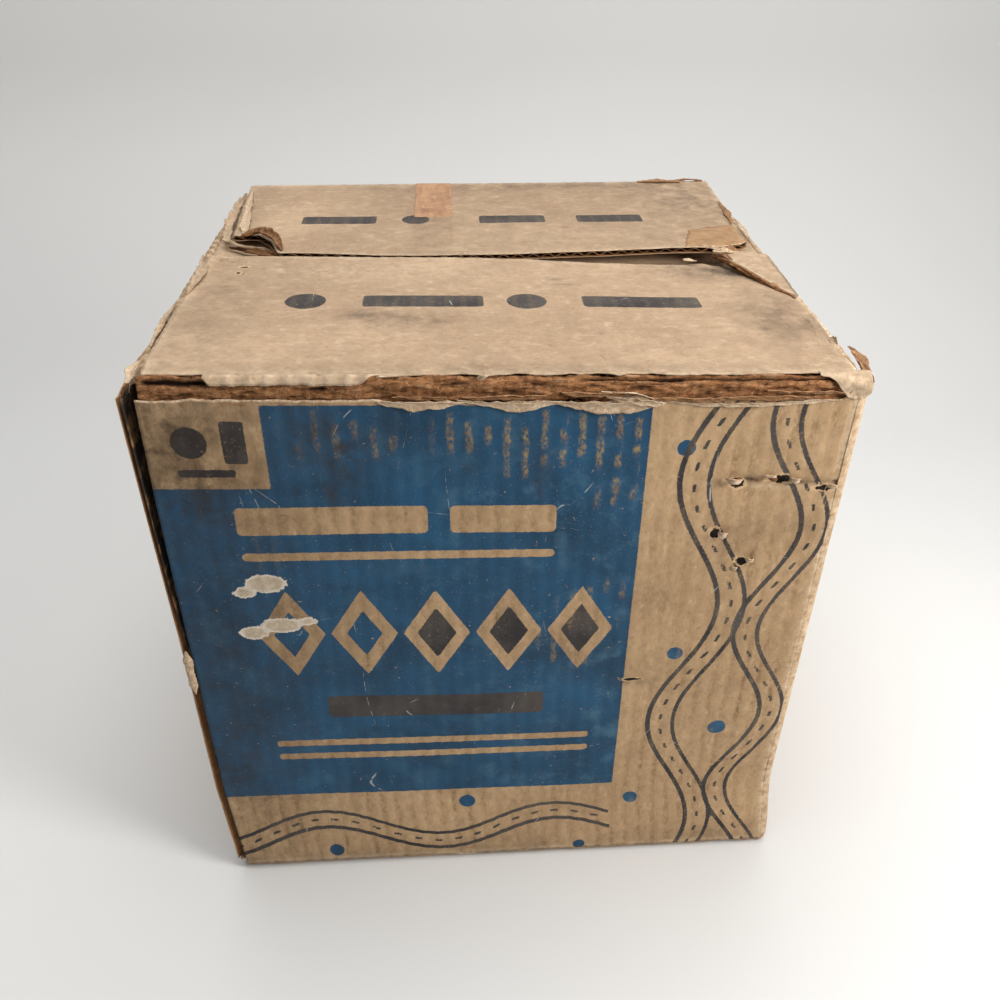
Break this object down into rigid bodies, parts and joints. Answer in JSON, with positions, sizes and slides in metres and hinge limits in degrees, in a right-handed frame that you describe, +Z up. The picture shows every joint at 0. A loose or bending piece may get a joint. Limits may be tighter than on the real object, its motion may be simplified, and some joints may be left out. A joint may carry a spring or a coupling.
{
  "type": "corrugated cardboard carton",
  "caption": "Closed regular slotted carton of corrugated board, standing on its bottom, with hinged top flaps, taped bottom flaps, and a split corner and torn edges from long use.",
  "frame": {"origin": "centre of the carton's bottom, where its bottom tape meets the floor", "axes": "+Z up out of the closed top flaps; -Y towards the printed front wall; +X to the right of someone facing that wall"},
  "size_m": [0.3004, 0.277, 0.3011],
  "materials": {
    "outer_liner": "matte",
    "printed_liner": "matte",
    "flutes": "matte",
    "inner_liner": "matte",
    "pressed_board": "matte",
    "gummed_tape": "matte",
    "old_tape": "satin"
  },
  "bodies": {
    "carton": {"front_wall_outer_liner": "printed_liner", "front_wall_flutes": "flutes", "front_wall_inner_liner": "inner_liner", "right_wall_outer_liner": "outer_liner", "right_wall_flutes": "flutes", "right_wall_inner_liner": "inner_liner", "back_wall_outer_liner": "outer_liner", "back_wall_flutes": "flutes", "back_wall_inner_liner": "inner_liner", "left_wall_outer_liner": "outer_liner", "left_wall_flutes": "flutes", "left_wall_inner_liner": "inner_liner", "front_bottom_flap_outer_liner": "outer_liner", "front_bottom_flap_flutes": "flutes", "front_bottom_flap_inner_liner": "inner_liner", "back_bottom_flap_outer_liner": "outer_liner", "back_bottom_flap_flutes": "flutes", "back_bottom_flap_inner_liner": "inner_liner", "left_bottom_flap_outer_liner": "outer_liner", "left_bottom_flap_flutes": "flutes", "left_bottom_flap_inner_liner": "inner_liner", "right_bottom_flap_outer_liner": "outer_liner", "right_bottom_flap_flutes": "flutes", "right_bottom_flap_inner_liner": "inner_liner", "front_top_crease": "outer_liner", "back_top_crease": "outer_liner", "left_top_crease": "outer_liner", "right_top_crease": "outer_liner", "front_bottom_crease": "outer_liner", "back_bottom_crease": "outer_liner", "left_bottom_crease": "outer_liner", "right_bottom_crease": "outer_liner", "front_right_corner_crease": "pressed_board", "back_right_corner_crease": "pressed_board", "back_left_corner_crease": "pressed_board", "bottom_tape": "gummed_tape", "right_tape_tail": "gummed_tape", "left_tape_tail": "gummed_tape", "joint_tape_scrap": "gummed_tape"},
    "front_flap": {"front_top_flap_outer_liner": "outer_liner", "front_top_flap_flutes": "flutes", "front_top_flap_inner_liner": "inner_liner", "front_flap_torn_corner": "outer_liner"},
    "back_flap": {"back_top_flap_outer_liner": "outer_liner", "back_top_flap_flutes": "flutes", "back_top_flap_inner_liner": "inner_liner", "old_tape": "old_tape"},
    "left_flap": {"left_top_flap_outer_liner": "outer_liner", "left_top_flap_flutes": "flutes", "left_top_flap_inner_liner": "inner_liner"},
    "right_flap": {"right_top_flap_outer_liner": "outer_liner", "right_top_flap_flutes": "flutes", "right_top_flap_inner_liner": "inner_liner"}
  },
  "joints": [
    {"name": "front_flap_hinge", "type": "hinge", "parent": "carton", "child": "front_flap", "pos_m": [0, -0.1385, 0.301], "axis": [1, 0, 0], "range_deg": [0, 250], "deforming": ["front_top_crease"]},
    {"name": "back_flap_hinge", "type": "hinge", "parent": "carton", "child": "back_flap", "pos_m": [0, 0.1385, 0.301], "axis": [-1, 0, 0], "range_deg": [0, 250], "deforming": ["back_top_crease"]},
    {"name": "left_flap_hinge", "type": "hinge", "parent": "carton", "child": "left_flap", "pos_m": [-0.1457, 0, 0.2927], "axis": [0, 1, 0], "range_deg": [0, 85], "deforming": ["left_top_crease"]},
    {"name": "right_flap_hinge", "type": "hinge", "parent": "carton", "child": "right_flap", "pos_m": [0.1457, 0, 0.2927], "axis": [0, -1, 0], "range_deg": [0, 85], "deforming": ["right_top_crease"]}
  ]
}
